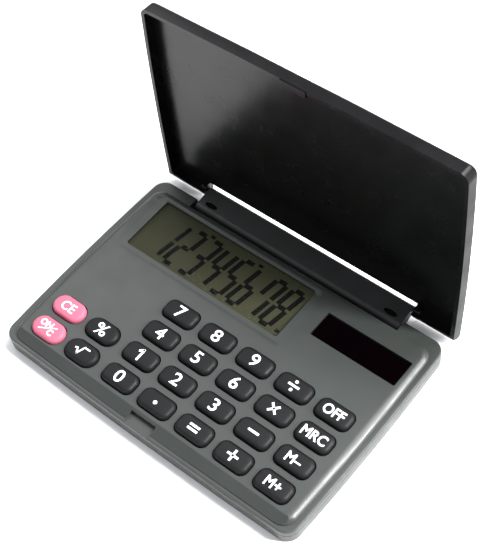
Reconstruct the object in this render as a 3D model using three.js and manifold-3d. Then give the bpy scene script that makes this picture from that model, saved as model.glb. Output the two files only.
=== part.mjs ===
// Pocket calculator with a flip-over cover on a two-axis hinge strip.
// Frame: millimetres, +Z up, +Y towards the hinge, +X to the right of the user.
// The origin is the middle of the flat underside. The cover stands open, just past upright.
import * as THREE from 'three';
import { mergeVertices } from 'three/addons/utils/BufferGeometryUtils.js';
import Module from 'manifold-3d';

const wasm = await Module();
wasm.setup();

// ---------------------------------------------------------------- driving dimensions
const BODY_WIDTH = 97.8;            // across the bowed ends
const BODY_DEPTH = 64.8;
const SIDE_BOW = 0.55;              // how far the ends bulge
const FRONT_BOW = 0.5;
const CORNER_RADIUS = 3.8;
const COVER_RADIUS = { free: 2.6, hinge: 1.5 };
const SEAM_Z = 3.2;                 // top of the lower case half
const SEAM_GAP = 0.2;
const BORDER_Z = 5.2;               // low border that the closed cover rests above
const DECK_Z = 6.6;                 // raised key deck
const DECK_ROLL = 2.1;              // width of the rounded edge of the deck
const DECK_MARGIN = { left: 2.0, right: 1.6, front: 1.1, back: 3.2 };
const DECK_STEP = 0.75;             // short upright step along the back of the deck
const FRONT_SLOPE = 3.4;            // width of the soft slope along the front of the deck
const CASE_WALL = 1.3;
const DECK_WALL = 1.2;
const FLOOR = 1.2;
const EDGE_BREAK = 0.5;             // small outer edge rounding
const FIT = 0.3;                    // clearance between neighbouring pieces
const PIVOT_FIT = 0.15;

const KEY_PITCH = { x: 12.5, y: 7.9 };
const KEY_FIRST = { x: -12.35, y: -24.0 };     // centre of the zero key
const KEY_SIZE = { width: 10.1, depth: 5.7, radius: 1.9, curve: 3 };
const OVAL_SIZE = { width: 10.1, depth: 6.0, radius: 2.95, curve: 5 };
const OVAL_FIRST = { x: -37.8, y: -24.3 };
const OVAL_PITCH_X = 12.1;
const KEY_TOP_Z = 8.0;
const KEY_FLANGE = { width: 0.55, height: 0.7 };   // retaining rim under the deck

const WINDOW = { x: -14.55, y: 17.65, width: 52.6, depth: 17.1, radius: 0.8 };
const SOLAR = { x: 31.45, y: 18.7, width: 26.3, depth: 8.0, radius: 0.5 };
const DISH = { x: -14.0, y: 16.7, width: 61.0, depth: 20.8, radius: 3.0 };
const DISH_DEPTH = 0.6;
const DISH_SLOPE = 1.5;
const LENS = { display: 0.6, solar: 0.8 };
const LCD = { overlap: 0.8, ledge: 0.9, glass: 0.6 };
const SOLAR_PANEL = { shift: -0.5, overlap: 0.6, thickness: 0.8 };

const COVER_DEPTH = 4.1;            // rim to outer face
const COVER_PLATE = 1.1;
const COVER_WALL = 1.1;
const COVER_ROUND = 1.1;
const COVER_INSET = 0.1;            // how far the cover stands inside the case outline
const COVER_OPEN = 92.8;            // degrees from closed to the stored pose
const COVER_SLANT = 2.9;            // the rim ends this far before the outer face does
const TONGUE = { width: 7.6, thickness: 1.9, reach: 0.35 };
const LATCH_POCKET = { back: 3.6, floor: 4.85, wall: 0.8 };

const PIVOT = { fromBack: 0.5, z: 2.42 };      // case axis
const COVER_PIVOT = { beyondRim: 0.5, deep: 2.05 };
const STRIP_HALF = 34.65;           // half length of the hinge strip
const STRIP_ENDS = { caseSide: 2.15, coverSide: 1.1 };  // end radii of its section
const NOTCH = { half: 35.2, depth: 3.0, flare: 0.45, coverEdge: 2.2 };
const PEG = { radius: 0.55, length: 1.6 };
const KNUCKLE = { caseRadius: 1.3, coverRadius: 1.6, width: 1.9 };

const SCREWS = [[-43.4, -29.0], [43.4, -29.0], [-43.6, 28.9], [43.6, 28.9], [-30, 5.4], [16.9, 5.4]];
const SCREW = { shank: 0.7, head: 1.4, headHeight: 0.7, sunk: 0.3, top: 4.4, boss: 1.5, ring: 0.9 };
const CELL = { x: -33, y: -3, radius: 5.8, cap: 5.0, height: 3.05, step: 0.35 };
const BOARD = { width: 89.6, front: -29.8, back: 27.3, thickness: 0.8 };
const SHEET = { thickness: 0.4, dome: 0.25, domeRadius: 1.6 };
const METAL = 0.25;                 // spring strip thickness

// ---------------------------------------------------------------- helpers
const deg = Math.PI / 180;
const materials = {};

function finish(name, color, roughness, metalness = 0) {
  materials[name] = { color, roughness, metalness };
}

finish('caseGrey', 0x5f6362, 0.55);
finish('coverBlack', 0x101012, 0.18);
finish('linkBlack', 0x1d1e20, 0.4);
finish('keyCharcoal', 0x3a3b3e, 0.45);
finish('keyPink', 0xd98097, 0.45);
finish('clear', 0x4a4d40, 0.05);
finish('lcd', 0x55583f, 0.2);
finish('foil', 0xb8bab0, 0.3, 0.6);
finish('rubber', 0x2a2a2c, 0.9);
finish('silicon', 0x120a10, 0.1);
finish('board', 0x2f5a3a, 0.5);
finish('epoxy', 0x0c0c0c, 0.6);
finish('steel', 0xb9bcc0, 0.3, 0.9);
finish('red', 0x8c1f1f, 0.6);
finish('black', 0x151515, 0.6);

function toSolid(geometry) {
  const bare = geometry.index ? geometry.toNonIndexed() : geometry.clone();
  bare.deleteAttribute('normal');
  bare.deleteAttribute('uv');
  const merged = mergeVertices(bare, 1e-4);
  return new wasm.Manifold(new wasm.Mesh({
    numProp: 3,
    vertProperties: Float32Array.from(merged.attributes.position.array),
    triVerts: Uint32Array.from(merged.index.array),
  }));
}

function toMesh(name, solid, materialName) {
  const result = solid.getMesh();
  const geometry = new THREE.BufferGeometry();
  geometry.setAttribute('position', new THREE.BufferAttribute(result.vertProperties, 3));
  geometry.setIndex(new THREE.BufferAttribute(result.triVerts, 1));
  geometry.computeVertexNormals();
  const mesh = new THREE.Mesh(geometry, new THREE.MeshStandardMaterial(materials[materialName]));
  mesh.name = name;
  return mesh;
}

function union(solids) {
  return solids.reduce((all, next) => all.add(next));
}

function cut(solid, tools) {
  return tools.reduce((rest, tool) => rest.subtract(tool), solid);
}

// A plate between two heights, with optional rounded or chamfered edges.
function plate(shape, low, high, { edge = 0, edgeHeight = edge, steps = 1, curveSegments = 6 } = {}) {
  const geometry = new THREE.ExtrudeGeometry(shape, {
    depth: high - low - (edge ? 2 * edgeHeight : 0),
    bevelEnabled: edge > 0,
    bevelSize: edge,
    bevelOffset: -edge,
    bevelThickness: edgeHeight,
    bevelSegments: steps,
    curveSegments,
  });
  geometry.translate(0, 0, low + (edge ? edgeHeight : 0));
  return toSolid(geometry);
}

function box(x0, x1, y0, y1, z0, z1) {
  const geometry = new THREE.BoxGeometry(x1 - x0, y1 - y0, z1 - z0);
  geometry.translate((x0 + x1) / 2, (y0 + y1) / 2, (z0 + z1) / 2);
  return toSolid(geometry);
}

function upright(x, y, radius, low, high, segments = 16) {
  const geometry = new THREE.CylinderGeometry(radius, radius, high - low, segments);
  geometry.rotateX(90 * deg);
  geometry.translate(x, y, (low + high) / 2);
  return toSolid(geometry);
}

// A round bar along X.
function crossBar(x0, x1, y, z, radius, segments = 16) {
  const geometry = new THREE.CylinderGeometry(radius, radius, x1 - x0, segments);
  geometry.rotateZ(90 * deg);
  geometry.translate((x0 + x1) / 2, y, z);
  return toSolid(geometry);
}

// A prism along X whose outline is given as [y, z] points.
function crossPrism(points, x0, x1) {
  const shape = new THREE.Shape(points.map(([y, z]) => new THREE.Vector2(y, z)));
  const geometry = new THREE.ExtrudeGeometry(shape, { depth: x1 - x0, bevelEnabled: false });
  geometry.rotateX(90 * deg);
  geometry.rotateZ(90 * deg);
  geometry.translate(x0, 0, 0);
  return toSolid(geometry);
}

function roundedRectangle(x, y, width, depth, radius) {
  const [a, b] = [width / 2 - radius, depth / 2 - radius];
  const shape = new THREE.Shape();
  shape.absarc(x + a, y + b, radius, 0, 90 * deg, false);
  shape.absarc(x - a, y + b, radius, 90 * deg, 180 * deg, false);
  shape.absarc(x - a, y - b, radius, 180 * deg, 270 * deg, false);
  shape.absarc(x + a, y - b, radius, 270 * deg, 360 * deg, false);
  return shape;
}

// The plan of the case and of the cover: a rectangle with bowed ends and front.
function bowedPlan({ left, right, front, back, frontRadius, backRadius, inset = 0 }) {
  const [x0, x1] = [left + SIDE_BOW + inset, right - SIDE_BOW - inset];
  const [y0, y1] = [front + FRONT_BOW + inset, back - inset];
  const [rf, rb] = [Math.max(frontRadius - inset, 0.8), Math.max(backRadius - inset, 0.8)];
  const middle = (y0 + y1) / 2;
  const shape = new THREE.Shape();
  shape.moveTo(x0 + rf, y0);
  shape.quadraticCurveTo((x0 + x1) / 2, y0 - 2 * FRONT_BOW, x1 - rf, y0);
  shape.absarc(x1 - rf, y0 + rf, rf, 270 * deg, 360 * deg, false);
  shape.quadraticCurveTo(x1 + 2 * SIDE_BOW, middle, x1, y1 - rb);
  shape.absarc(x1 - rb, y1 - rb, rb, 0, 90 * deg, false);
  shape.lineTo(x0 + rb, y1);
  shape.absarc(x0 + rb, y1 - rb, rb, 90 * deg, 180 * deg, false);
  shape.quadraticCurveTo(x0 - 2 * SIDE_BOW, middle, x0, y0 + rf);
  shape.absarc(x0 + rf, y0 + rf, rf, 180 * deg, 270 * deg, false);
  return shape;
}

// ---------------------------------------------------------------- hinge geometry
// Angles are in the plane across the hinge, from +Y towards +Z. Closing the cover is positive.
const BODY = {
  left: -BODY_WIDTH / 2,
  right: BODY_WIDTH / 2,
  front: -BODY_DEPTH / 2,
  back: BODY_DEPTH / 2,
  frontRadius: CORNER_RADIUS,
  backRadius: CORNER_RADIUS,
};
const AXIS = [BODY.back - PIVOT.fromBack, PIVOT.z];
const RIM_Z = BORDER_Z + FIT;
const RIM_END = BODY.back - COVER_SLANT;
const COVER_AXIS = [RIM_END + COVER_PIVOT.beyondRim, RIM_Z + COVER_PIVOT.deep];
const ARM = [COVER_AXIS[0] - AXIS[0], COVER_AXIS[1] - AXIS[1]];
const STRIP_LENGTH = Math.hypot(...ARM);
const CLOSED_ANGLE = Math.atan2(ARM[1], ARM[0]) / deg;
const NOTCH_FRONT = BODY.back - NOTCH.depth;
const DECK_BACK = BODY.back - DECK_MARGIN.back - DECK_STEP;

function hingeRoom(wall) {
  const [front, half] = [NOTCH_FRONT - wall, NOTCH.half + wall];
  return crossPrism([
    [front, -5],
    [front, PIVOT.z],
    [front - NOTCH.flare, BORDER_Z],
    [front - NOTCH.flare, DECK_Z + 5],
    [BODY.back + 5, DECK_Z + 5],
    [BODY.back + 5, -5],
  ], -half, half);
}

function bothEnds(build) {
  return build(-1).add(build(1));
}

function sideBar(side, near, far, [y, z], radius, segments = 16) {
  return crossBar(Math.min(side * near, side * far), Math.max(side * near, side * far), y, z, radius, segments);
}

// ---------------------------------------------------------------- keys
const labels = [
  ['zero', 'point', 'equals', 'plus', 'memory_plus'],
  ['one', 'two', 'three', 'minus', 'memory_minus'],
  ['four', 'five', 'six', 'times', 'memory_recall'],
  ['seven', 'eight', 'nine', 'divide', 'off'],
];
const ovals = [['on_clear', 'root'], ['clear_entry', 'percent']];
const keys = [];
labels.forEach((row, j) => row.forEach((label, i) => keys.push({
  name: `key_${label}`,
  x: KEY_FIRST.x + i * KEY_PITCH.x,
  y: KEY_FIRST.y + j * KEY_PITCH.y,
  size: KEY_SIZE,
  finish: 'keyCharcoal',
})));
ovals.forEach((row, j) => row.forEach((label, i) => keys.push({
  name: `key_${label}`,
  x: OVAL_FIRST.x + i * OVAL_PITCH_X,
  y: OVAL_FIRST.y + j * KEY_PITCH.y,
  size: OVAL_SIZE,
  finish: i === 0 ? 'keyPink' : 'keyCharcoal',
})));

function keyPlan(key, grow) {
  const { width, depth, radius } = key.size;
  return roundedRectangle(key.x, key.y, width + 2 * grow, depth + 2 * grow, radius + grow);
}

const CEILING = DECK_Z - DECK_WALL;
const FLANGE_TOP = CEILING - FIT;
const KEY_BOTTOM = FLANGE_TOP - KEY_FLANGE.height;

function buildKey(key) {
  const curve = { curveSegments: key.size.curve };
  const cap = plate(keyPlan(key, 0), KEY_BOTTOM, KEY_TOP_Z, { edge: 0.6, edgeHeight: 0.55, steps: 2, ...curve });
  const rim = plate(keyPlan(key, KEY_FLANGE.width), KEY_BOTTOM, FLANGE_TOP, curve);
  return toMesh(key.name, cap.add(rim), key.finish);
}

// ---------------------------------------------------------------- case
const all = 80;                     // a half size beyond every piece
const SCREW_ROOM = SCREW.head + FIT;
const WELL = SCREW_ROOM + SCREW.ring;

function windowPlan(frame, grow = 0) {
  const radius = Math.max(frame.radius + grow, 0.3);
  return roundedRectangle(frame.x, frame.y, frame.width + 2 * grow, frame.depth + 2 * grow, radius);
}

function deckPlan(inset) {
  return bowedPlan({
    left: BODY.left + DECK_MARGIN.left + inset,
    right: BODY.right - DECK_MARGIN.right - inset,
    front: BODY.front + DECK_MARGIN.front + inset,
    back: BODY.back - DECK_MARGIN.back - inset,
    frontRadius: CORNER_RADIUS - inset,
    backRadius: CORNER_RADIUS - inset,
  });
}

function buildTopHousing() {
  const low = SEAM_Z + SEAM_GAP;
  const rise = DECK_Z - BORDER_Z;
  const border = plate(bowedPlan(BODY), low - 2, BORDER_Z, { edge: EDGE_BREAK, steps: 2 });
  const deck = plate(deckPlan(0), BORDER_Z - 2 * rise, DECK_Z, { edge: DECK_ROLL, edgeHeight: rise, steps: 4 });
  const foot = BODY.front + DECK_MARGIN.front;
  const slope = crossPrism([
    [foot - 0.2, BORDER_Z],
    [foot + FRONT_SLOPE, DECK_Z + 0.02],
    [foot + FRONT_SLOPE, DECK_Z + 2],
    [foot - 3, DECK_Z + 2],
    [foot - 3, BORDER_Z],
  ], -all, all);
  const behindDeck = box(-all, all, DECK_BACK, all, BORDER_Z, DECK_Z + 1);
  const belowSeam = box(-all, all, -all, all, -all, low);
  const shell = border.add(cut(deck, [slope, behindDeck])).subtract(belowSeam);

  const pocket = { half: TONGUE.width / 2 + FIT, back: BODY.front + LATCH_POCKET.back };
  const pocketWalls = box(-pocket.half - LATCH_POCKET.wall, pocket.half + LATCH_POCKET.wall,
    BODY.front, pocket.back + LATCH_POCKET.wall, low - 1, DECK_Z);
  const cavity = plate(bowedPlan({ ...BODY, inset: CASE_WALL }), low - 1, BORDER_Z - DECK_WALL)
    .add(plate(deckPlan(DECK_ROLL - 0.3), low - 1, CEILING))
    .subtract(hingeRoom(DECK_WALL))
    .subtract(pocketWalls);
  const bosses = union(SCREWS.map(([x, y]) => upright(x, y, SCREW.boss, low, DECK_Z))).intersect(shell);
  const screwHoles = SCREWS.map(([x, y]) => upright(x, y, SCREW.shank + PIVOT_FIT, low - 1, SCREW.top + 0.2, 12));

  const dishFloor = DECK_Z - DISH_DEPTH;
  const dish = plate(windowPlan(DISH), dishFloor, dishFloor + 4 * DISH_DEPTH, {
    edge: DISH_SLOPE, edgeHeight: DISH_DEPTH,
  });
  const windows = [WINDOW, SOLAR].map((frame) => plate(windowPlan(frame), low, DECK_Z + 1));
  const keyHoles = keys.map((key) => plate(keyPlan(key, FIT), low, DECK_Z + 1, { curveSegments: key.size.curve }));
  const pocketRoom = box(-pocket.half, pocket.half, BODY.front - 1, pocket.back, LATCH_POCKET.floor, DECK_Z + 1);

  const hollow = shell.subtract(cavity).add(bosses);
  return toMesh('top_housing', cut(hollow, [
    dish, ...windows, ...keyHoles, ...screwHoles, pocketRoom, hingeRoom(0),
  ]), 'caseGrey');
}

function buildBottomHousing() {
  const aboveSeam = box(-all, all, -all, all, SEAM_Z, all);
  const shell = plate(bowedPlan(BODY), 0, SEAM_Z + 2, { edge: EDGE_BREAK, steps: 2 }).subtract(aboveSeam);
  const cavity = plate(bowedPlan({ ...BODY, inset: CASE_WALL }), FLOOR, SEAM_Z + 1)
    .subtract(hingeRoom(DECK_WALL));
  const wells = union(SCREWS.map(([x, y]) => upright(x, y, WELL, FLOOR - 0.2, SEAM_Z))).intersect(shell);
  const seat = SCREW.sunk + SCREW.headHeight + FIT;
  const headRoom = SCREWS.map(([x, y]) => upright(x, y, SCREW_ROOM, -1, seat));
  const shankRoom = SCREWS.map(([x, y]) => upright(x, y, SCREW.shank + PIVOT_FIT, -1, SEAM_Z + 1, 12));
  const knuckles = bothEnds((side) => sideBar(side, NOTCH.half, NOTCH.half + KNUCKLE.width, AXIS, KNUCKLE.caseRadius, 20))
    .subtract(aboveSeam);
  const pegHoles = bothEnds((side) => sideBar(side, NOTCH.half - 1, NOTCH.half + PEG.length, AXIS,
    PEG.radius + PIVOT_FIT, 24));
  const base = shell.subtract(cavity).add(wells).subtract(hingeRoom(0)).add(knuckles);
  return toMesh('bottom_housing', cut(base, [...headRoom, ...shankRoom, pegHoles]), 'caseGrey');
}

// The case holds together with six screws put in from below.
function buildScrew([x, y], number) {
  const headTop = SCREW.sunk + SCREW.headHeight;
  const head = upright(x, y, SCREW.head, SCREW.sunk, headTop);
  const shank = upright(x, y, SCREW.shank, headTop - 0.1, SCREW.top, 12);
  const slots = [
    box(x - 0.9, x + 0.9, y - 0.17, y + 0.17, SCREW.sunk - 1, SCREW.sunk + 0.35),
    box(x - 0.17, x + 0.17, y - 0.9, y + 0.9, SCREW.sunk - 1, SCREW.sunk + 0.35),
  ];
  return toMesh(`case_screw_${number + 1}`, cut(head.add(shank), slots), 'steel');
}

// ---------------------------------------------------------------- inside the case
const BOARD_LOW = FLOOR + FIT;
const BOARD_TOP = BOARD_LOW + BOARD.thickness;
const ON_BOARD = BOARD_TOP + FIT;   // height of everything that sits on the board
const LCD_TOP = CEILING - FIT;
const LCD_LOW = LCD_TOP - 2 * LCD.glass;
const wellRoom = () => SCREWS.map(([x, y]) => upright(x, y, WELL + FIT, 0, SEAM_Z + 0.2));

function buildBoard() {
  const depth = BOARD.back - BOARD.front;
  const plan = roundedRectangle(0, BOARD.front + depth / 2, BOARD.width, depth, 2);
  const cellHole = upright(CELL.x, CELL.y, CELL.radius + 0.5, 0, 5, 24);
  return toMesh('circuit_board', cut(plate(plan, BOARD_LOW, BOARD_TOP), [cellHole, ...wellRoom()]), 'board');
}

function buildSheet() {
  const flat = box(-19.8, 44.2, -27.8, 3.3, ON_BOARD, ON_BOARD + SHEET.thickness)
    .add(box(-44.2, -19.6, -27.8, -12.5, ON_BOARD, ON_BOARD + SHEET.thickness));
  const domeTop = ON_BOARD + SHEET.thickness + SHEET.dome;
  const domes = keys.map(({ x, y }) => upright(x, y, SHEET.domeRadius, ON_BOARD + 0.1, domeTop, 12));
  return toMesh('key_contact_sheet', cut(union([flat, ...domes]), wellRoom()), 'rubber');
}

function buildDisplay() {
  const lens = plate(windowPlan(WINDOW, -FIT), CEILING, CEILING + LENS.display);
  const front = plate(windowPlan({ ...WINDOW, radius: 0.3 }, LCD.overlap), LCD_TOP - LCD.glass, LCD_TOP);
  const longer = { ...WINDOW, y: WINDOW.y - LCD.ledge / 2, depth: WINDOW.depth + LCD.ledge, radius: 0.3 };
  const back = plate(windowPlan(longer, LCD.overlap), LCD_LOW, LCD_TOP - LCD.glass + 0.01);
  const stripFront = WINDOW.y - WINDOW.depth / 2 - 0.5;
  const zebra = box(WINDOW.x - 25, WINDOW.x + 25, stripFront, stripFront + 1.8, ON_BOARD, LCD_LOW - FIT);
  return [
    toMesh('display_window', lens, 'clear'),
    toMesh('lcd_panel', front.add(back), 'lcd'),
    toMesh('display_connector_strip', zebra, 'rubber'),
  ];
}

function buildSolar() {
  const lens = plate(windowPlan(SOLAR, -FIT), CEILING, CEILING + LENS.solar);
  const panelTop = CEILING - FIT;
  const panelLow = panelTop - SOLAR_PANEL.thickness;
  const { shift, overlap } = SOLAR_PANEL;
  const cell = { ...SOLAR, x: SOLAR.x + shift, depth: SOLAR.depth + 2 * overlap };
  const panel = plate(windowPlan(cell), panelLow, panelTop);
  const wire = (name, y, materialName) => {
    const leg = box(40.2, 40.8, y - 0.3, y + 0.3, ON_BOARD, panelLow - FIT);
    const run = box(36.0, 40.8, y - 0.3, y + 0.3, ON_BOARD, ON_BOARD + 0.6);
    return toMesh(name, leg.add(run), materialName);
  };
  return [
    toMesh('solar_window', lens, 'silicon'),
    toMesh('solar_panel', panel, 'silicon'),
    wire('solar_wire_red', SOLAR.y + 2.2, 'red'),
    wire('solar_wire_black', SOLAR.y - 2.2, 'black'),
  ];
}

function buildPower() {
  const low = FLOOR + FIT;
  const can = upright(CELL.x, CELL.y, CELL.radius, low, low + CELL.height - CELL.step, 28);
  const cap = upright(CELL.x, CELL.y, CELL.cap, low, low + CELL.height, 28);
  const over = low + CELL.height + FIT;
  const post = CELL.x + CELL.radius + 2.0;
  const negative = union([
    box(CELL.x - 2, post + METAL, CELL.y - 1, CELL.y + 1, over, over + METAL),
    box(post, post + METAL, CELL.y - 1, CELL.y + 1, ON_BOARD, over + METAL),
    box(post, post + 2.5, CELL.y - 1, CELL.y + 1, ON_BOARD, ON_BOARD + METAL),
  ]);
  const beside = CELL.y + CELL.radius + FIT;
  const positive = union([
    box(CELL.x - 4, CELL.x - 0.8, beside, beside + METAL, ON_BOARD, low + CELL.height - CELL.step),
    box(CELL.x - 4, CELL.x - 0.8, beside, beside + 2.2, ON_BOARD, ON_BOARD + METAL),
  ]);
  return [
    toMesh('button_cell', can.add(cap), 'steel'),
    toMesh('battery_contact_negative', negative, 'steel'),
    toMesh('battery_contact_positive', positive, 'steel'),
  ];
}

// The chip is bonded to the board under a drop of black resin.
function buildChip() {
  const radius = 2.2;
  const height = 0.9;
  const geometry = new THREE.SphereGeometry(radius, 16, 8);
  geometry.scale(1, 1, height / radius);
  geometry.translate(-8, 6, ON_BOARD);
  return toMesh('chip_resin', toSolid(geometry).subtract(box(-all, all, -all, all, -all, ON_BOARD)), 'epoxy');
}

// ---------------------------------------------------------------- hinge strip and cover
// Both are built closed and then turned about the case axis into the stored pose.
function openUp(solid, name, materialName) {
  const [y, z] = AXIS;
  const turned = solid.translate([0, -y, -z]).rotate([-COVER_OPEN, 0, 0]).translate([0, y, z]);
  return toMesh(name, turned, materialName);
}

function buildStrip() {
  const { caseSide, coverSide } = STRIP_ENDS;
  const lean = Math.acos((caseSide - coverSide) / STRIP_LENGTH);
  const points = [[0, -coverSide], [0, 0], [caseSide * Math.cos(lean), caseSide * Math.sin(lean)]];
  for (let i = 0; i <= 10; i += 1) {
    const angle = lean - (lean + 90 * deg) * i / 10;
    points.push([STRIP_LENGTH + coverSide * Math.cos(angle), coverSide * Math.sin(angle)]);
  }
  const arm = crossPrism(points.reverse(), -STRIP_HALF, STRIP_HALF);
  const bar = arm.add(crossBar(-STRIP_HALF, STRIP_HALF, 0, 0, caseSide, 28));
  const pegEnd = NOTCH.half + PEG.length - FIT;
  const pegs = bothEnds((side) => sideBar(side, STRIP_HALF - 1, pegEnd, [0, 0], PEG.radius, 24)
    .add(sideBar(side, STRIP_HALF - 1, pegEnd, [STRIP_LENGTH, 0], PEG.radius, 24)));
  const pocket = (x) => {
    const geometry = new THREE.CylinderGeometry(1, 1, 1.6, 20);
    geometry.rotateX(90 * deg);
    geometry.scale(2.1, 0.75, 1);
    geometry.translate(x, 1.6, caseSide);
    return toSolid(geometry);
  };
  const strip = cut(bar.add(pegs), [pocket(-30.5), pocket(30.5)]);
  const placed = strip.rotate([CLOSED_ANGLE, 0, 0]).translate([0, AXIS[0], AXIS[1]]);
  return openUp(placed, 'hinge_strip', 'linkBlack');
}

function buildCover() {
  const top = RIM_Z + COVER_DEPTH;
  const corners = { frontRadius: COVER_RADIUS.free, backRadius: COVER_RADIUS.hinge };
  const plan = bowedPlan({ ...BODY, ...corners, inset: COVER_INSET });
  const outer = plate(plan, RIM_Z - 3, top, { edge: COVER_ROUND, steps: 3 })
    .subtract(box(-all, all, -all, all, -all, RIM_Z));
  const backWall = COVER_AXIS[0] - NOTCH.coverEdge;
  const wall = COVER_WALL + COVER_INSET;
  const hollowBack = DECK_BACK + FIT;
  const cheeks = bothEnds((side) => box(Math.min(side * NOTCH.half, side * (NOTCH.half + wall)),
    Math.max(side * NOTCH.half, side * (NOTCH.half + wall)), backWall, all, -all, all));
  const hollow = plate(bowedPlan({ ...BODY, ...corners, back: hollowBack + wall, inset: wall }),
    RIM_Z - 1, top - COVER_PLATE).subtract(cheeks);
  const slant = crossPrism([
    [RIM_END, RIM_Z - 0.5],
    [RIM_END, RIM_Z],
    [BODY.back, RIM_Z + COVER_DEPTH - 1],
    [BODY.back + 2, RIM_Z + COVER_DEPTH - 1],
    [BODY.back + 2, RIM_Z - 0.5],
  ], -all, all);
  const notch = box(-NOTCH.half, NOTCH.half, backWall, all, RIM_Z - 1, top + 1);
  const overDeck = box(-NOTCH.half - wall - 0.1, NOTCH.half + wall + 0.1, backWall - wall - 1, hollowBack,
    RIM_Z - 1, DECK_Z + FIT);
  const knuckles = bothEnds((side) => sideBar(side, NOTCH.half, NOTCH.half + KNUCKLE.width, COVER_AXIS,
    KNUCKLE.coverRadius, 20));
  const pegHoles = bothEnds((side) => sideBar(side, NOTCH.half - 1, NOTCH.half + PEG.length, COVER_AXIS,
    PEG.radius + PIVOT_FIT, 24));
  const inFront = BODY.front + COVER_INSET;
  const tongue = box(-TONGUE.width / 2, TONGUE.width / 2, inFront + 0.2, inFront + 0.2 + TONGUE.thickness,
    RIM_Z - TONGUE.reach, top - 1);
  const shell = cut(outer, [hollow, slant, notch, overDeck]);
  return openUp(union([shell, knuckles, tongue]).subtract(pegHoles), 'cover', 'coverBlack');
}

// ---------------------------------------------------------------- assembly
const group = new THREE.Group();
group.name = 'pocket_calculator';
group.add(buildTopHousing(), buildBottomHousing());
keys.forEach((key) => group.add(buildKey(key)));
SCREWS.forEach((place, number) => group.add(buildScrew(place, number)));
group.add(buildBoard(), buildSheet(), buildChip(), ...buildDisplay(), ...buildSolar(), ...buildPower());
group.add(buildStrip(), buildCover());

export default group;
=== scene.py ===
import math
import bmesh
import bpy
from mathutils import Matrix, Vector


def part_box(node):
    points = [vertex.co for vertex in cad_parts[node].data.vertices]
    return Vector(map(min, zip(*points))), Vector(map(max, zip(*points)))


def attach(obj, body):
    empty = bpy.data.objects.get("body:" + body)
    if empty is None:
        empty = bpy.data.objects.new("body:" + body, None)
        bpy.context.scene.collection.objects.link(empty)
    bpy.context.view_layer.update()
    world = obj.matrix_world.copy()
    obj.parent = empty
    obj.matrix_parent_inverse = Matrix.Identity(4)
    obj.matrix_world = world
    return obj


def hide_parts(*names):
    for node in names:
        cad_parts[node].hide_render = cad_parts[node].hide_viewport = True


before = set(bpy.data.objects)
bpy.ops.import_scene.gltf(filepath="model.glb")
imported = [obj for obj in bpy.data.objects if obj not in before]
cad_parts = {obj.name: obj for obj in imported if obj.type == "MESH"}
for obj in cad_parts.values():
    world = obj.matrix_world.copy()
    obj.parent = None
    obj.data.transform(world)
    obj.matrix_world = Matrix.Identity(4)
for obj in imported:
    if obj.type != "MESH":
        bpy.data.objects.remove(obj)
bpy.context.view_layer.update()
mm = 0.001

# ---------------------------------------------------------------- camera
# A long-lens view from the front right corner, high above the keys, slightly rolled.
camera_place = Vector((137.65, -111.44, 277.62)) * mm
turn, rise, roll = math.radians(48.21), math.radians(54.12), math.radians(-10.59)
backwards = Vector((math.sin(turn) * math.cos(rise), -math.cos(turn) * math.cos(rise), math.sin(rise)))
level = Vector((math.cos(turn), math.sin(turn), 0))
rightwards = level * math.cos(roll) + backwards.cross(level) * math.sin(roll)
upwards = backwards.cross(rightwards)
camera_data = bpy.data.cameras.new("camera")
camera_data.sensor_fit = "HORIZONTAL"
camera_data.sensor_width = 36
camera_data.lens = 94.4925
camera_data.clip_start = 0.01
camera = bpy.data.objects.new("camera", camera_data)
bpy.context.collection.objects.link(camera)
facing = Matrix((rightwards, upwards, backwards)).transposed()
camera.matrix_world = Matrix.Translation(camera_place) @ facing.to_4x4()
bpy.context.scene.camera = camera

# ---------------------------------------------------------------- table and light
# A pale sheet of paper, one wide soft light high behind, a fill on the left, a weak one in front and a
# narrow one on the right that draws the long highlight along the edge of the case. The paper lies a
# hair below the case, so that the two flat faces don't show through each other.
room = bpy.context.scene.world or bpy.data.worlds.new("room")
bpy.context.scene.world = room
room.use_nodes = True
room_light = room.node_tree.nodes["Background"]
room_light.inputs["Color"].default_value = (0.93, 0.95, 1.0, 1)
room_light.inputs["Strength"].default_value = 0.62
bpy.context.scene.view_settings.view_transform = "Standard"
paper_mesh = bpy.data.meshes.new("paper")
paper_half, paper_z = 2.0, -0.05 * mm
paper_corners = [(-paper_half, -paper_half, paper_z), (paper_half, -paper_half, paper_z),
                 (paper_half, paper_half, paper_z), (-paper_half, paper_half, paper_z)]
paper_mesh.from_pydata(paper_corners, [], [(0, 1, 2, 3)])
paper = bpy.data.objects.new("paper", paper_mesh)
bpy.context.collection.objects.link(paper)
paper_finish = bpy.data.materials.new("paper")
paper_finish.use_nodes = True
paper_shader = paper_finish.node_tree.nodes["Principled BSDF"]
paper_shader.inputs["Base Color"].default_value = (0.92, 0.92, 0.92, 1)
paper_shader.inputs["Roughness"].default_value = 0.8
paper_mesh.materials.append(paper_finish)


def softbox(name, place, target, width, height, power):
    light = bpy.data.lights.new(name, "AREA")
    light.shape = "RECTANGLE"
    light.size, light.size_y = width, height
    light.energy = power
    lamp = bpy.data.objects.new(name, light)
    bpy.context.collection.objects.link(lamp)
    lamp.location = place
    lamp.rotation_euler = (Vector(target) - Vector(place)).to_track_quat("-Z", "Y").to_euler()


softbox("key_light", (0.15, 0.45, 0.8), (0, 0, 0), 0.5, 0.5, 9)
softbox("fill_light", (-0.5, 0.2, 0.6), (0, 0, 0), 0.5, 0.4, 1.6)
softbox("front_light", (0.05, -0.7, 0.25), (0, -0.03, 0), 0.6, 0.3, 1.3)
softbox("edge_light", (0.5, 0.22, 0.4), (0.03, 0, 0.01), 0.07, 0.6, 15)


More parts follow.
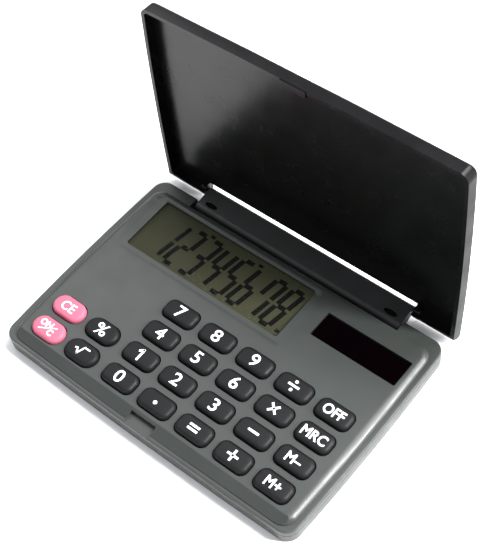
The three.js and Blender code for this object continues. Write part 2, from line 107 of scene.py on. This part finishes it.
# ---------------------------------------------------------------- case
# Two halves moulded in grey polystyrene with a fine spark-eroded grain. The upper half carries the
# raised key deck, the dished display bay and the latch pocket; the lower is a shallow tray.
# A moulded finish is a cloudy colour, an uneven gloss and a fine grain, all placed on the piece itself.
def moulded(name, colour, roughness, grain, depth, shift=0.12, gloss=0.5):
    finish = bpy.data.materials.new(name)
    finish.use_nodes = True
    tree = finish.node_tree
    shader = tree.nodes["Principled BSDF"]
    where = tree.nodes.new("ShaderNodeTexCoord")
    cloud = tree.nodes.new("ShaderNodeTexNoise")
    cloud.inputs["Scale"].default_value = 55
    cloud.inputs["Detail"].default_value = 4
    tree.links.new(where.outputs["Object"], cloud.inputs["Vector"])
    shade = tree.nodes.new("ShaderNodeValToRGB")
    shade.color_ramp.elements[0].position = 0.3
    shade.color_ramp.elements[1].position = 0.7
    shade.color_ramp.elements[0].color = (*[c * (1 - shift) for c in colour], 1)
    shade.color_ramp.elements[1].color = (*[min(c * (1 + shift), 1) for c in colour], 1)
    tree.links.new(cloud.outputs["Fac"], shade.inputs["Fac"])
    tree.links.new(shade.outputs["Color"], shader.inputs["Base Color"])
    rub = tree.nodes.new("ShaderNodeTexNoise")
    rub.inputs["Scale"].default_value = 160
    rub.inputs["Detail"].default_value = 6
    tree.links.new(where.outputs["Object"], rub.inputs["Vector"])
    wear = tree.nodes.new("ShaderNodeMapRange")
    wear.inputs["From Min"].default_value = 0.3
    wear.inputs["From Max"].default_value = 0.7
    wear.inputs["To Min"].default_value = roughness * 0.85
    wear.inputs["To Max"].default_value = min(roughness * 1.15, 1)
    tree.links.new(rub.outputs["Fac"], wear.inputs["Value"])
    tree.links.new(wear.outputs["Result"], shader.inputs["Roughness"])
    pits = tree.nodes.new("ShaderNodeTexNoise")
    pits.inputs["Scale"].default_value = grain
    pits.inputs["Detail"].default_value = 2
    tree.links.new(where.outputs["Object"], pits.inputs["Vector"])
    bump = tree.nodes.new("ShaderNodeBump")
    bump.inputs["Strength"].default_value = depth
    bump.inputs["Distance"].default_value = 0.03 * mm
    tree.links.new(pits.outputs["Fac"], bump.inputs["Height"])
    tree.links.new(bump.outputs["Normal"], shader.inputs["Normal"])
    shader.inputs["Specular IOR Level"].default_value = gloss
    return finish


# A moulded piece has soft corners: its flat faces are merged, its edges rounded and its shading evened.
def smoothed_copy(name, node, finish, soften, body):
    merge_distance, flat_angle, corner_angle = 0.001 * mm, math.radians(0.6), math.radians(38)
    work = bmesh.new()
    work.from_mesh(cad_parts[node].data)
    bmesh.ops.remove_doubles(work, verts=work.verts, dist=merge_distance)
    bmesh.ops.dissolve_limit(work, angle_limit=flat_angle, verts=work.verts, edges=work.edges)
    for face in work.faces:
        face.smooth = True
        face.material_index = 0
    for edge in work.edges:
        edge.smooth = not (edge.is_manifold and edge.calc_face_angle(0) > corner_angle)
    mesh = bpy.data.meshes.new(name)
    work.to_mesh(mesh)
    work.free()
    mesh.materials.clear()
    mesh.materials.append(finish)
    piece = bpy.data.objects.new(name, mesh)
    bpy.context.collection.objects.link(piece)
    round_off = piece.modifiers.new("edges", "BEVEL")
    round_off.limit_method = "ANGLE"
    round_off.angle_limit = corner_angle
    round_off.width = soften
    round_off.segments = 2
    round_off.use_clamp_overlap = True
    round_off.harden_normals = True
    even = piece.modifiers.new("even", "WEIGHTED_NORMAL")
    even.keep_sharp = True
    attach(piece, body)
    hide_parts(node)
    return piece


case_grey = moulded("case_grey_plastic", (0.0255, 0.0292, 0.0268), 0.37, 5200, 0.4, 0.06, 0.46)
top_shell = smoothed_copy("case_top", "top_housing", case_grey, 0.12 * mm, "case")
bottom_shell = smoothed_copy("case_bottom", "bottom_housing", case_grey, 0.12 * mm, "case")

# ---------------------------------------------------------------- cover
# The flip-over cover is a shallow tray in glossy black polystyrene, polished in the mould, with light
# cloudiness. Its short sides are duller outside. The tab on its free edge drops into the case's pocket.
cover_black = moulded("cover_black_plastic", (0.0024, 0.0024, 0.0027), 0.25, 900, 0.015, 0.1, 0.26)
cover = smoothed_copy("cover_tray", "cover", cover_black, 0.15 * mm, "cover_body")
cover_skin = moulded("cover_outside_plastic", (0.004, 0.004, 0.0044), 0.4, 3200, 0.25, 0.1, 0.06)
cover.data.materials.append(cover_skin)
outer_half, side_band, sideways = max(abs(v.co.x) for v in cover.data.vertices), 1.5 * mm, 0.4
for face in cover.data.polygons:
    outwards = abs(face.normal.x) > sideways and face.center.x * face.normal.x > 0
    if outwards and abs(face.center.x) > outer_half - side_band:
        face.material_index = 1

# ---------------------------------------------------------------- hinge strip
# One moulded bar of softer black plastic joins case and cover. It turns on a peg at each end of
# both edges, and an oval pocket near each end takes the weight out of the thick section.
strip_black = moulded("hinge_black_plastic", (0.0135, 0.014, 0.0142), 0.38, 2600, 0.3, 0.5)
strip = smoothed_copy("hinge_bar", "hinge_strip", strip_black, 0.1 * mm, "strip_body")
# The faces inside the two oval pockets get a near-black, dull finish. This is painted shade for the dark
# hollows, not a different plastic.
pocket_painted_shade = moulded("hinge_pocket_painted_shade", (0.0015, 0.0015, 0.0016), 0.7, 2600, 0.3, 0.1, 0.05)
strip.data.materials.append(pocket_painted_shade)
pocket_x, pocket_reach, pocket_area = 30.5 * mm, 2.3 * mm, 8 * mm * mm
for face in strip.data.polygons:
    if abs(abs(face.center.x) - pocket_x) < pocket_reach and face.area < pocket_area:
        face.material_index = 1


# ---------------------------------------------------------------- keys
# Each key is a moulded cap with a nearly flat top, rolled shoulders and a hidden rim that keeps it
# under the deck. The legend is printed on it in white.
key_rim, shoulder, crown_fall, crown_power = 0.55 * mm, 0.95 * mm, 0.09 * mm, 2.2
print_lift, ink_half = 0.005 * mm, 0.012 * mm
oval_corner, bar_corner, corner_steps, crease_angle = 2.95 * mm, 1.95 * mm, 8, math.radians(50)
quarters = ((1, 1), (-1, 1), (-1, -1), (1, -1))


def key_cap(name, corner):
    low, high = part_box(name)
    x, y = (low[0] + high[0]) / 2, (low[1] + high[1]) / 2
    half_x, half_y = (high[0] - low[0]) / 2 - key_rim, (high[1] - low[1]) / 2 - key_rim
    reach_x, reach_y = max(half_x - corner, 0), max(half_y - corner, 0)
    base, top = low[2], high[2]
    work = bmesh.new()

    def outline(r, z, share=1.0):
        points = []
        for quarter, (sx, sy) in enumerate(quarters):
            for step in range(corner_steps + 1):
                angle = (quarter + step / corner_steps) * math.pi / 2
                points.append((x + share * (sx * reach_x + r * math.cos(angle)),
                               y + share * (sy * reach_y + r * math.sin(angle)), z))
        return [work.verts.new(p) for p in points]

    sides = ((-0.55, base), (-0.55, base + 0.68 * mm), (0, base + 0.72 * mm), (0, top - 1.15 * mm),
             (0.04, top - 0.85 * mm), (0.14, top - 0.58 * mm), (0.3, top - 0.37 * mm), (0.5, top - 0.22 * mm),
             (0.72, top - 0.13 * mm))
    rings = [outline(corner - inset * mm, z) for inset, z in sides]
    for share in (1.0, 0.8, 0.55, 0.3):
        rings.append(outline(corner - shoulder, top - crown_fall * share ** crown_power, share))
    for lower, upper in zip(rings, rings[1:]):
        for i in range(len(lower)):
            j = (i + 1) % len(lower)
            work.faces.new((lower[i], lower[j], upper[j], upper[i]))
    work.faces.new(rings[-1])
    work.faces.new(list(reversed(rings[0])))
    bmesh.ops.remove_doubles(work, verts=work.verts, dist=0.0001 * mm)
    bmesh.ops.recalc_face_normals(work, faces=work.faces)
    for face in work.faces:
        face.smooth = True
    for edge in work.edges:
        edge.smooth = not (edge.is_manifold and edge.calc_face_angle(0) > crease_angle)
    return work, x, y, top


def printed(work, text, x, y, z, height, bold, wide=1.0):
    capital_share = 0.7
    letters = bpy.data.curves.new("letters", "FONT")
    letters.body = text
    letters.size = height / capital_share
    letters.align_x, letters.align_y = "LEFT", "BOTTOM_BASELINE"
    letters.offset = bold * height
    letters.extrude = ink_half
    letters.resolution_u = 4
    holder = bpy.data.objects.new("letters", letters)
    bpy.context.collection.objects.link(holder)
    flat = bpy.data.meshes.new_from_object(holder.evaluated_get(bpy.context.evaluated_depsgraph_get()))
    bpy.data.objects.remove(holder)
    xs = [v.co.x for v in flat.vertices]
    ys = [v.co.y for v in flat.vertices]
    centre_x, centre_y = (min(xs) + max(xs)) / 2, (min(ys) + max(ys)) / 2
    before = len(work.faces)
    for v in flat.vertices:
        v.co = ((v.co.x - centre_x) * wide + x, v.co.y - centre_y + y, v.co.z + z)
    work.from_mesh(flat)
    work.faces.ensure_lookup_table()
    for face in work.faces[before:]:
        face.material_index = 1
        face.smooth = False
    bpy.data.meshes.remove(flat)


def stroke(work, points, width, z, x, y):
    end_overlap, lift = width * 0.25, Vector((0, 0, ink_half))
    for (ax, ay), (bx, by) in zip(points, points[1:]):
        along = Vector((bx - ax, by - ay, 0)).normalized()
        side = Vector((-along.y, along.x, 0)) * width / 2
        a = Vector((x + ax * mm, y + ay * mm, z)) - along * end_overlap
        b = Vector((x + bx * mm, y + by * mm, z)) + along * end_overlap
        floor = [work.verts.new(p - lift) for p in (a - side, b - side, b + side, a + side)]
        roof = [work.verts.new(p + lift) for p in (a - side, b - side, b + side, a + side)]
        sides = [(floor[i], floor[(i + 1) % 4], roof[(i + 1) % 4], roof[i]) for i in range(4)]
        for corners in sides + [tuple(roof), tuple(reversed(floor))]:
            work.faces.new(corners).material_index = 1


def spot(work, cx, cy, radius, z):
    spot_sides = 16
    around = [2 * math.pi * i / spot_sides for i in range(spot_sides)]
    rim = [(cx + radius * math.cos(angle), cy + radius * math.sin(angle)) for angle in around]
    lower = [work.verts.new((px, py, z - ink_half)) for px, py in rim]
    upper = [work.verts.new((px, py, z + ink_half)) for px, py in rim]
    for i in range(spot_sides):
        j = (i + 1) % spot_sides
        work.faces.new((lower[i], lower[j], upper[j], upper[i])).material_index = 1
    work.faces.new(upper).material_index = 1
    work.faces.new(list(reversed(lower))).material_index = 1


key_charcoal = moulded("key_charcoal_plastic", (0.0062, 0.0065, 0.007), 0.5, 4200, 0.35, 0.08, 0.16)
key_pink = moulded("key_pink_plastic", (0.42, 0.098, 0.152), 0.48, 4200, 0.3, 0.05, 0.22)
legend_white = moulded("legend_white_ink", (0.78, 0.79, 0.79), 0.55, 3000, 0.2, 0.04)
# Most legends are set in type; the rest are drawn as strokes, in millimetres from the middle of the key.
words = {
    "key_zero": "0", "key_two": "2", "key_three": "3", "key_four": "4", "key_five": "5",
    "key_six": "6", "key_seven": "7", "key_eight": "8", "key_nine": "9", "key_off": "OFF",
    "key_memory_recall": "MRC", "key_memory_minus": "M\u2013", "key_memory_plus": "M+", "key_percent": "%",
    "key_clear_entry": "CE", "key_on_clear": "ON/C",
}
strokes = {
    "key_one": [[(-0.85, 0.75), (0.2, 1.55), (0.2, -1.75)]],
    "key_divide": [[(-1.5, 0), (1.5, 0)]],
    "key_times": [[(-1.1, -1.1), (1.1, 1.1)], [(-1.1, 1.1), (1.1, -1.1)]],
    "key_minus": [[(-1.45, 0), (1.45, 0)]],
    "key_plus": [[(-1.5, 0), (1.5, 0)], [(0, -1.5), (0, 1.5)]],
    "key_equals": [[(-1.4, 0.58), (1.4, 0.58)], [(-1.4, -0.58), (1.4, -0.58)]],
    "key_root": [[(-1.9, 0.0), (-1.3, 0.25), (-0.55, -1.25), (0.35, 1.2), (2.1, 1.2)]],
}
thin_line, thick_line, slash_line = 0.42 * mm, 0.62 * mm, 0.3 * mm
digit_high, letter_high, word_high, small_high = 3.5 * mm, 2.7 * mm, 2.7 * mm, 1.75 * mm
divide_dot, divide_reach, point_dot, point_drop = 0.46 * mm, 1.3 * mm, 0.55 * mm, 0.3 * mm
pink_keys = ("key_clear_entry", "key_on_clear")
ovals = pink_keys + ("key_percent", "key_root")
for node in sorted(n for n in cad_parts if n.startswith("key_") and n != "key_contact_sheet"):
    work, x, y, top = key_cap(node, oval_corner if node in ovals else bar_corner)
    print_z = top + print_lift
    for line in strokes.get(node, []):
        stroke(work, line, thin_line if node == "key_root" else thick_line, print_z, x, y)
    if node == "key_divide":
        spot(work, x, y + divide_reach, divide_dot, print_z)
        spot(work, x, y - divide_reach, divide_dot, print_z)
    if node == "key_point":
        spot(work, x, y - point_drop, point_dot, print_z)
    text = words.get(node, "")
    if text == "ON/C":
        printed(work, "ON", x - 1.1 * mm, y + 0.75 * mm, print_z, small_high, 0.05)
        stroke(work, [(-2.2, -1.5), (2.4, 1.1)], slash_line, print_z, x, y)
        printed(work, "C", x + 1.5 * mm, y - 0.95 * mm, print_z, small_high, 0.05)
    elif len(text) == 1:
        printed(work, text, x, y, print_z, digit_high, 0.014, 1.1)
    elif text == "CE":
        printed(work, text, x, y, print_z, letter_high, 0.012)
    elif text:
        printed(work, text, x, y, print_z, word_high, 0.03, 0.92)
    mesh = bpy.data.meshes.new(node + "_cap")
    work.to_mesh(mesh)
    work.free()
    pink = node in pink_keys
    mesh.materials.append(key_pink if pink else key_charcoal)
    mesh.materials.append(legend_white)
    cap = bpy.data.objects.new(node + "_cap", mesh)
    bpy.context.collection.objects.link(cap)
    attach(cap, node + "_body")
    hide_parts(node)

# ---------------------------------------------------------------- display
# A twisted-nematic glass panel: two glass plates, olive polariser on top, black segments. The clear
# acrylic window in front of it is polished on both faces.
lcd_olive = moulded("lcd_polariser", (0.060, 0.062, 0.034), 0.5, 1500, 0.03, 0.05, 0.1)
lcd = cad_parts["lcd_panel"]
lcd.data.materials.clear()
lcd.data.materials.append(lcd_olive)

window_clear = bpy.data.materials.new("window_acrylic")
window_clear.use_nodes = True
window_shader = window_clear.node_tree.nodes["Principled BSDF"]
window_shader.inputs["Base Color"].default_value = (0.006, 0.006, 0.006, 1)
window_shader.inputs["Roughness"].default_value = 0.04
window_shader.inputs["IOR"].default_value = 1.49
window_shader.inputs["Specular IOR Level"].default_value = 0.06
window_shader.inputs["Alpha"].default_value = 0.16
smudge = window_clear.node_tree.nodes.new("ShaderNodeTexNoise")
smudge.inputs["Scale"].default_value = 90
smudge.inputs["Detail"].default_value = 5
smudge_place = window_clear.node_tree.nodes.new("ShaderNodeTexCoord")
smudge_range = window_clear.node_tree.nodes.new("ShaderNodeMapRange")
smudge_range.inputs["To Min"].default_value = 0.02
smudge_range.inputs["To Max"].default_value = 0.06
window_clear.node_tree.links.new(smudge_place.outputs["Object"], smudge.inputs["Vector"])
window_clear.node_tree.links.new(smudge.outputs["Fac"], smudge_range.inputs["Value"])
window_clear.node_tree.links.new(smudge_range.outputs["Result"], window_shader.inputs["Roughness"])
display_lens = smoothed_copy("display_lens", "display_window", window_clear, 0.1 * mm, "case")

# The digits are dark, leaning segments: one square-ended bar, put at each place that a digit uses. A
# point follows the last digit and two short marks high between digits part the thousands.
segments_used = {
    "1": "bc", "2": "abged", "3": "abgcd", "4": "fgbc",
    "5": "afgcd", "6": "fgcde", "7": "fabc", "8": "abcdefg",
}
lean_angle = math.radians(9)
upright = math.pi / 2 - lean_angle
digit_pitch, digit_tall, digit_wide, lean = 5.6 * mm, 12.9 * mm, 3.35 * mm, math.tan(lean_angle)
first_digit_x, digits_y = -32.3 * mm, 17.35 * mm
standing_gap, lying_gap, dot_long = 0.75 * mm, 0.9 * mm, 0.95 * mm
half_w, quarter = digit_wide / 2, digit_tall / 4
lcd_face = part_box("lcd_panel")[1][2]
segment_z = lcd_face + 0.03 * mm
places = {
    "a": (0, 2 * quarter, False), "g": (0, 0, False), "d": (0, -2 * quarter, False),
    "b": (half_w, quarter, True), "c": (half_w, -quarter, True),
    "f": (-half_w, quarter, True), "e": (-half_w, -quarter, True),
}
marks = bpy.data.meshes.new("segment_places")
spots, lengths, turns = [], [], []
for number, digit in enumerate("12345678"):
    cx = first_digit_x + number * digit_pitch
    for letter in segments_used[digit]:
        px, py, standing = places[letter]
        spots.append((cx + px + py * lean, digits_y + py, segment_z))
        lengths.append(digit_tall / 2 - standing_gap if standing else digit_wide - lying_gap)
        turns.append(upright if standing else 0.0)
for after, height in ((7.62, -6.3 * mm), (1.72, 7.3 * mm), (4.72, 7.3 * mm)):
    spots.append((first_digit_x + after * digit_pitch, digits_y + height, segment_z))
    lengths.append(dot_long)
    turns.append(upright)
marks.from_pydata(spots, [], [])
marks.attributes.new("length", "FLOAT", "POINT").data.foreach_set("value", lengths)
marks.attributes.new("turn", "FLOAT", "POINT").data.foreach_set("value", turns)
segments_holder = bpy.data.objects.new("segments_holder", marks)
bpy.context.collection.objects.link(segments_holder)

segment_black = moulded("lcd_segment_black", (0.003, 0.0035, 0.003), 0.6, 1500, 0.03, 0.1, 0.1)
segment_tree = bpy.data.node_groups.new("lcd_segments", "GeometryNodeTree")
segment_tree.interface.new_socket("Geometry", in_out="INPUT", socket_type="NodeSocketGeometry")
thick_socket = segment_tree.interface.new_socket(
    "Segment width", in_out="INPUT", socket_type="NodeSocketFloat")
segment_tree.interface.new_socket("Geometry", in_out="OUTPUT", socket_type="NodeSocketGeometry")
add = segment_tree.nodes.new
entry, leave = add("NodeGroupInput"), add("NodeGroupOutput")
bar_shape = add("GeometryNodeMeshGrid")
bar_shape.inputs["Vertices X"].default_value = 2
bar_shape.inputs["Vertices Y"].default_value = 2
length_value, turn_value = add("GeometryNodeInputNamedAttribute"), add("GeometryNodeInputNamedAttribute")
length_value.data_type = turn_value.data_type = "FLOAT"
length_value.inputs["Name"].default_value = "length"
turn_value.inputs["Name"].default_value = "turn"
place = add("GeometryNodeInstanceOnPoints")
size_of, turn_of = add("ShaderNodeCombineXYZ"), add("ShaderNodeCombineXYZ")
size_of.inputs["Z"].default_value = 1
real, paint = add("GeometryNodeRealizeInstances"), add("GeometryNodeSetMaterial")
paint.inputs["Material"].default_value = segment_black
link = segment_tree.links.new
link(entry.outputs["Geometry"], place.inputs["Points"])
link(bar_shape.outputs["Mesh"], place.inputs["Instance"])
link(length_value.outputs["Attribute"], size_of.inputs["X"])
link(entry.outputs["Segment width"], size_of.inputs["Y"])
link(turn_value.outputs["Attribute"], turn_of.inputs["Z"])
link(size_of.outputs["Vector"], place.inputs["Scale"])
link(turn_of.outputs["Vector"], place.inputs["Rotation"])
link(place.outputs["Instances"], real.inputs["Geometry"])
link(real.outputs["Geometry"], paint.inputs["Geometry"])
link(paint.outputs["Geometry"], leave.inputs["Geometry"])
segment_maker = segments_holder.modifiers.new("segments", "NODES")
segment_maker.node_group = segment_tree
segment_maker[thick_socket.identifier] = 1.42 * mm
segments_mesh = bpy.data.meshes.new_from_object(
    segments_holder.evaluated_get(bpy.context.evaluated_depsgraph_get()))
bpy.data.objects.remove(segments_holder)
segments = bpy.data.objects.new("lcd_digits", segments_mesh)
bpy.context.collection.objects.link(segments)
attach(segments, "case")

# ---------------------------------------------------------------- solar cell
# Amorphous silicon on glass, almost black with a wine tint, under its own dark acrylic window.
silicon = moulded("solar_silicon", (0.006, 0.0015, 0.003), 0.2, 2000, 0.05, 0.2)
solar_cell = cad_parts["solar_panel"]
solar_cell.data.materials.clear()
solar_cell.data.materials.append(silicon)
solar_finish = moulded("solar_window_acrylic", (0.0008, 0.0002, 0.0005), 0.12, 700, 0.02, 0.1, 0.05)
solar_lens = smoothed_copy("solar_lens", "solar_window", solar_finish, 0.1 * mm, "case")

# ---------------------------------------------------------------- fasteners and parts inside
# Plated steel screws and cell contacts, a green glass-fibre board, a drop of black resin over the
# chip, and carbon-filled rubber for the key contacts and the display connector.
inside = {
    "circuit_board": moulded("board_lacquer", (0.02, 0.11, 0.045), 0.35, 2500, 0.2),
    "key_contact_sheet": moulded("contact_rubber", (0.03, 0.03, 0.032), 0.75, 3000, 0.3),
    "display_connector_strip": moulded("connector_rubber", (0.35, 0.3, 0.28), 0.8, 3000, 0.3),
    "chip_resin": moulded("resin_black", (0.01, 0.01, 0.01), 0.3, 1200, 0.2),
    "solar_wire_red": moulded("wire_red", (0.35, 0.02, 0.02), 0.45, 3000, 0.1),
    "solar_wire_black": moulded("wire_black", (0.01, 0.01, 0.01), 0.45, 3000, 0.1),
}
plated = moulded("plated_steel", (0.62, 0.63, 0.65), 0.28, 3500, 0.2, 0.05)
plated.node_tree.nodes["Principled BSDF"].inputs["Metallic"].default_value = 1.0
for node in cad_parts:
    if node.startswith(("button_cell", "battery_contact")):
        inside[node] = plated
for node, finish in inside.items():
    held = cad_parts[node]
    held.data.materials.clear()
    held.data.materials.append(finish)

# Six cross-head screws hold the halves together, driven from below: a flat head with a chamfered rim
# and a pressed cross, and a straight shank that cuts its own thread in the boss.
screw_nodes = sorted(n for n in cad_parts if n.startswith("case_screw"))
screw_seats = []
for node in screw_nodes:
    low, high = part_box(node)
    screw_seats.append(((low[0] + high[0]) / 2, (low[1] + high[1]) / 2, low[2]))
screw_long = high[2] - low[2]
seats = bpy.data.meshes.new("screw_seats")
seats.from_pydata(screw_seats, [], [])
screws_holder = bpy.data.objects.new("screws_holder", seats)
bpy.context.collection.objects.link(screws_holder)
screw_tree = bpy.data.node_groups.new("case_screws", "GeometryNodeTree")
screw_tree.interface.new_socket("Geometry", in_out="INPUT", socket_type="NodeSocketGeometry")
screw_sizes = {
    "Head radius": 1.38 * mm, "Chamfer": 0.22 * mm, "Head height": 0.7 * mm, "Shank radius": 0.7 * mm,
    "Screw length": screw_long, "Cross width": 0.34 * mm, "Cross span": 1.8 * mm,
}
screw_inputs = {}
for label, size in screw_sizes.items():
    socket = screw_tree.interface.new_socket(label, in_out="INPUT", socket_type="NodeSocketFloat")
    screw_inputs[socket.identifier] = size
screw_tree.interface.new_socket("Geometry", in_out="OUTPUT", socket_type="NodeSocketGeometry")
add, link = screw_tree.nodes.new, screw_tree.links.new
entry, leave = add("NodeGroupInput"), add("NodeGroupOutput")
head_sides, shank_sides = 32, 16


def turned(bottom, top, tall, sides):
    cone = add("GeometryNodeMeshCone")
    cone.inputs["Vertices"].default_value = sides
    link(bottom, cone.inputs["Radius Bottom"])
    link(top, cone.inputs["Radius Top"])
    link(tall, cone.inputs["Depth"])
    return cone.outputs["Mesh"]


rim = add("ShaderNodeMath")
rim.operation = "SUBTRACT"
link(entry.outputs["Head radius"], rim.inputs[0])
link(entry.outputs["Chamfer"], rim.inputs[1])
blank = add("GeometryNodeMeshBoolean")
blank.operation = "UNION"
link(turned(rim.outputs["Value"], entry.outputs["Head radius"], entry.outputs["Chamfer"], head_sides),
     blank.inputs["Mesh 2"])
lifted = add("GeometryNodeTransform")
lift_by, above = add("ShaderNodeCombineXYZ"), add("ShaderNodeMath")
above.operation = "SUBTRACT"
link(entry.outputs["Head height"], above.inputs[0])
link(entry.outputs["Chamfer"], above.inputs[1])
link(entry.outputs["Chamfer"], lift_by.inputs["Z"])
link(turned(entry.outputs["Head radius"], entry.outputs["Head radius"], above.outputs["Value"], head_sides),
     lifted.inputs["Geometry"])
link(lift_by.outputs["Vector"], lifted.inputs["Translation"])
link(lifted.outputs["Geometry"], blank.inputs["Mesh 2"])
link(turned(entry.outputs["Shank radius"], entry.outputs["Shank radius"], entry.outputs["Screw length"],
            shank_sides), blank.inputs["Mesh 2"])
recessed = add("GeometryNodeMeshBoolean")
recessed.operation = "DIFFERENCE"
link(blank.outputs["Mesh"], recessed.inputs["Mesh 1"])
for across in (("Cross span", "Cross width"), ("Cross width", "Cross span")):
    bar, bar_size = add("GeometryNodeMeshCube"), add("ShaderNodeCombineXYZ")
    for axis, label in zip(("X", "Y", "Z"), across + ("Head height",)):
        link(entry.outputs[label], bar_size.inputs[axis])
    link(bar_size.outputs["Vector"], bar.inputs["Size"])
    link(bar.outputs["Mesh"], recessed.inputs["Mesh 2"])
place, real, paint = (add("GeometryNodeInstanceOnPoints"), add("GeometryNodeRealizeInstances"),
                      add("GeometryNodeSetMaterial"))
paint.inputs["Material"].default_value = plated
link(entry.outputs["Geometry"], place.inputs["Points"])
link(recessed.outputs["Mesh"], place.inputs["Instance"])
link(place.outputs["Instances"], real.inputs["Geometry"])
link(real.outputs["Geometry"], paint.inputs["Geometry"])
link(paint.outputs["Geometry"], leave.inputs["Geometry"])
screw_maker = screws_holder.modifiers.new("screws", "NODES")
screw_maker.node_group = screw_tree
for identifier, size in screw_inputs.items():
    screw_maker[identifier] = size
screws_mesh = bpy.data.meshes.new_from_object(
    screws_holder.evaluated_get(bpy.context.evaluated_depsgraph_get()))
bpy.data.objects.remove(screws_holder)
screws = bpy.data.objects.new("case_screws", screws_mesh)
bpy.context.collection.objects.link(screws)
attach(screws, "case")
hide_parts(*screw_nodes)
